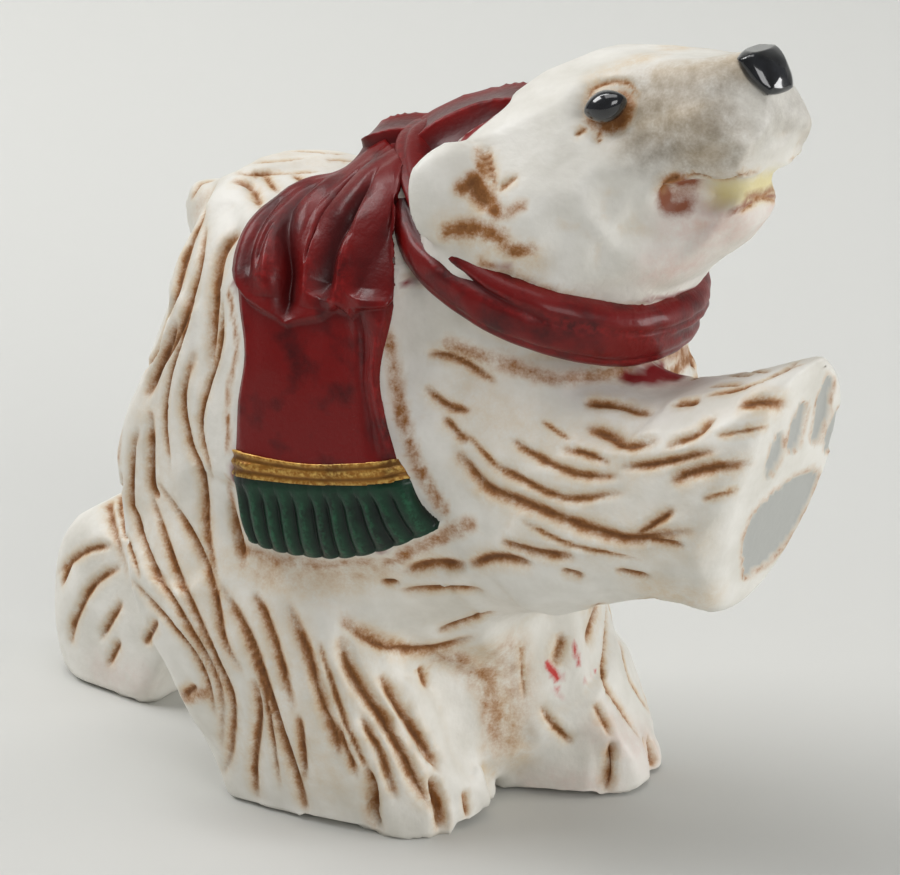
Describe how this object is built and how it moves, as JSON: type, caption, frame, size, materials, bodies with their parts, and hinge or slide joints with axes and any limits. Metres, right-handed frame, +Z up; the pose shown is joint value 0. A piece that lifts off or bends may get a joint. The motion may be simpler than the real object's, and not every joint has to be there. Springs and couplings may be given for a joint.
{
  "type": "bear figurine",
  "caption": "Walking polar bear figurine with one forepaw raised, head thrown up and a fringed scarf, cast in one piece with knife-carved fur.",
  "frame": {"origin": "middle of the figure's outline on the floor it stands on", "axes": "+X the way the bear walks, +Y its left side, +Z up"},
  "size_m": [0.1734, 0.079, 0.1443],
  "materials": {
    "painted_fur": "satin cream-white paint over cast resin, brown wash left in the cuts",
    "painted_scarf": "satin dark red paint",
    "painted_braid": "gold paint",
    "painted_fringe": "satin dark green paint",
    "gloss_black": "gloss black paint on eyes and nose"
  },
  "bodies": {
    "root": {"bear": "painted_fur"}
  },
  "joints": []
}
